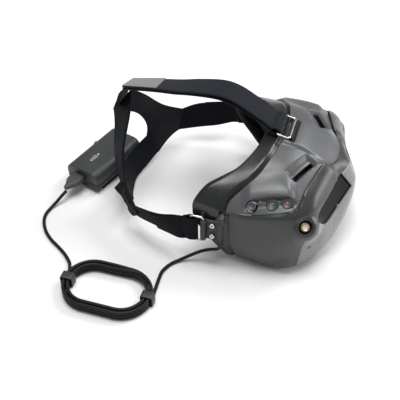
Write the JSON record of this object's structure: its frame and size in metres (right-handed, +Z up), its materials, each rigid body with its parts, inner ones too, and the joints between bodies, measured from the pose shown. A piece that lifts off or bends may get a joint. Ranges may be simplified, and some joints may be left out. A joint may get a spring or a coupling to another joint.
{
  "type": "fpv goggles",
  "caption": "Head-worn video goggles with a foam-lined face flange, sliding eyepieces, thumb joystick and buttons, a three-way head strap and a clip-on battery on a coiled power lead.",
  "frame": {"origin": "on the table, under the middle of the box round the goggles, head strap and battery", "axes": "+Z up, the front of the goggles faces -Y, the wearer's right side is -X, the strap and battery lie towards +Y"},
  "size_m": [0.2745, 0.293, 0.1376],
  "materials": {
    "top_housing_plastic": "matte",
    "shell_plastic": "fine matte texture",
    "flange_rubber": "satin soft-touch",
    "visor_gloss": "high gloss",
    "front_satin": "satin",
    "black_plastic": "satin",
    "face_foam": "knitted cover over foam",
    "lens_glass": "polished",
    "circuit_board": "solder mask",
    "gold_plate": "plated",
    "nickel_plate": "polished",
    "webbing": "woven elastic",
    "yoke_rubber": "matte",
    "lead_rubber": "satin",
    "battery_plastic": "fine matte",
    "cell_wrap": "shrink wrap"
  },
  "bodies": {
    "goggles": {"antenna_socket_lower_left": "gold_plate", "antenna_socket_lower_right": "gold_plate", "antenna_socket_upper_left": "gold_plate", "antenna_socket_upper_right": "gold_plate", "battery_cells": "cell_wrap", "battery_clip": "battery_plastic", "battery_lower_shell": "battery_plastic", "battery_plug": "lead_rubber", "battery_upper_shell": "battery_plastic", "bottom_shell": "shell_plastic", "cord_hank": "lead_rubber", "dc_jack": "black_plastic", "dc_plug": "lead_rubber", "face_flange": "flange_rubber", "fan_housing": "black_plastic", "foam_padding": "face_foam", "front_cover": "front_satin", "ipd_rail": "nickel_plate", "lead_near_battery": "lead_rubber", "lead_near_goggles": "lead_rubber", "left_lower_rivet": "nickel_plate", "left_ring_tab": "black_plastic", "left_strap": "webbing", "left_upper_rivet": "nickel_plate", "lens_plate": "black_plastic", "main_board": "circuit_board", "main_shell": "shell_plastic", "rear_band": "webbing", "right_lower_rivet": "nickel_plate", "right_ring_tab": "black_plastic", "right_strap": "webbing", "right_upper_rivet": "nickel_plate", "tie_battery_end": "lead_rubber", "tie_goggles_end": "lead_rubber", "top_housing": "top_housing_plastic", "top_ring_bracket": "black_plastic", "top_strap": "webbing", "visor_left": "visor_gloss", "visor_right": "visor_gloss", "yoke_left": "yoke_rubber", "yoke_right": "yoke_rubber"},
    "optic_right": {"lens_barrel_right": "black_plastic", "eyepiece_lens_right": "lens_glass", "display_right": "black_plastic", "ipd_slider_right": "black_plastic"},
    "optic_left": {"lens_barrel_left": "black_plastic", "eyepiece_lens_left": "lens_glass", "display_left": "black_plastic", "ipd_slider_left": "black_plastic"},
    "joystick_cradle_body": {"joystick_cradle": "black_plastic"},
    "joystick_cross_body": {"joystick_cross": "black_plastic"},
    "joystick_cap_body": {"joystick_cap": "black_plastic"},
    "back_button_body": {"back_button": "black_plastic"},
    "record_button_body": {"record_button": "black_plastic"},
    "link_button_body": {"link_button": "black_plastic"},
    "battery_button_body": {"battery_button": "battery_plastic"},
    "fan_rotor_body": {"fan_rotor": "black_plastic"},
    "top_ring_body": {"top_strap_ring": "nickel_plate"},
    "right_ring_body": {"right_strap_ring": "nickel_plate"},
    "left_ring_body": {"left_strap_ring": "nickel_plate"}
  },
  "joints": [
    {"name": "eyepiece_right_slide", "type": "slide", "parent": "goggles", "child": "optic_right", "axis": [1, 0, 0], "range_m": [-0.003, 0.003]},
    {"name": "eyepiece_left_slide", "type": "slide", "parent": "goggles", "child": "optic_left", "axis": [1, 0, 0], "range_m": [-0.003, 0.003]},
    {"name": "joystick_tilt_fore_aft", "type": "hinge", "parent": "goggles", "child": "joystick_cradle_body", "pos_m": [-0.07596, -0.06362, 0.07045], "axis": [0.7678, -0.036, 0.6396], "range_deg": [-8, 8], "stiffness_Nm_per_rad": 0.02},
    {"name": "joystick_tilt_sideways", "type": "hinge", "parent": "joystick_cradle_body", "child": "joystick_cross_body", "pos_m": [-0.07596, -0.06362, 0.07045], "axis": [0.0468, 0.9989, 0], "range_deg": [-8, 8], "stiffness_Nm_per_rad": 0.02},
    {"name": "joystick_press", "type": "slide", "parent": "joystick_cross_body", "child": "joystick_cap_body", "axis": [0.6389, -0.03, -0.7687], "range_m": [0, 0.0004], "stiffness_N_per_m": 900, "springref_m": -0.0003},
    {"name": "back_button_press", "type": "slide", "parent": "goggles", "child": "back_button_body", "axis": [0.6389, -0.03, -0.7687], "range_m": [0, 0.0008], "stiffness_N_per_m": 450, "springref_m": -0.0006},
    {"name": "record_button_press", "type": "slide", "parent": "goggles", "child": "record_button_body", "axis": [0.6389, -0.03, -0.7687], "range_m": [0, 0.0008], "stiffness_N_per_m": 450, "springref_m": -0.0006},
    {"name": "link_button_press", "type": "slide", "parent": "goggles", "child": "link_button_body", "axis": [-0.6389, -0.03, -0.7687], "range_m": [0, 0.0008], "stiffness_N_per_m": 450, "springref_m": -0.0006},
    {"name": "battery_button_press", "type": "slide", "parent": "goggles", "child": "battery_button_body", "axis": [-0.2924, -0.9563, 0], "range_m": [0, 0.0008], "stiffness_N_per_m": 450, "springref_m": -0.0006},
    {"name": "fan_spin", "type": "hinge", "parent": "goggles", "child": "fan_rotor_body", "pos_m": [0, -0.0945, 0.0845], "axis": [0, 0, 1], "continuous": true},
    {"name": "top_ring_swing", "type": "hinge", "parent": "goggles", "child": "top_ring_body", "pos_m": [0, -0.0805, 0.105], "axis": [1, 0, 0], "range_deg": [-5, 5]},
    {"name": "right_ring_swing", "type": "hinge", "parent": "goggles", "child": "right_ring_body", "pos_m": [-0.09, -0.0222, 0.044], "axis": [0, 0, 1], "range_deg": [-5, 5]},
    {"name": "left_ring_swing", "type": "hinge", "parent": "goggles", "child": "left_ring_body", "pos_m": [0.09, -0.0222, 0.044], "axis": [0, 0, 1], "range_deg": [-5, 5]}
  ]
}
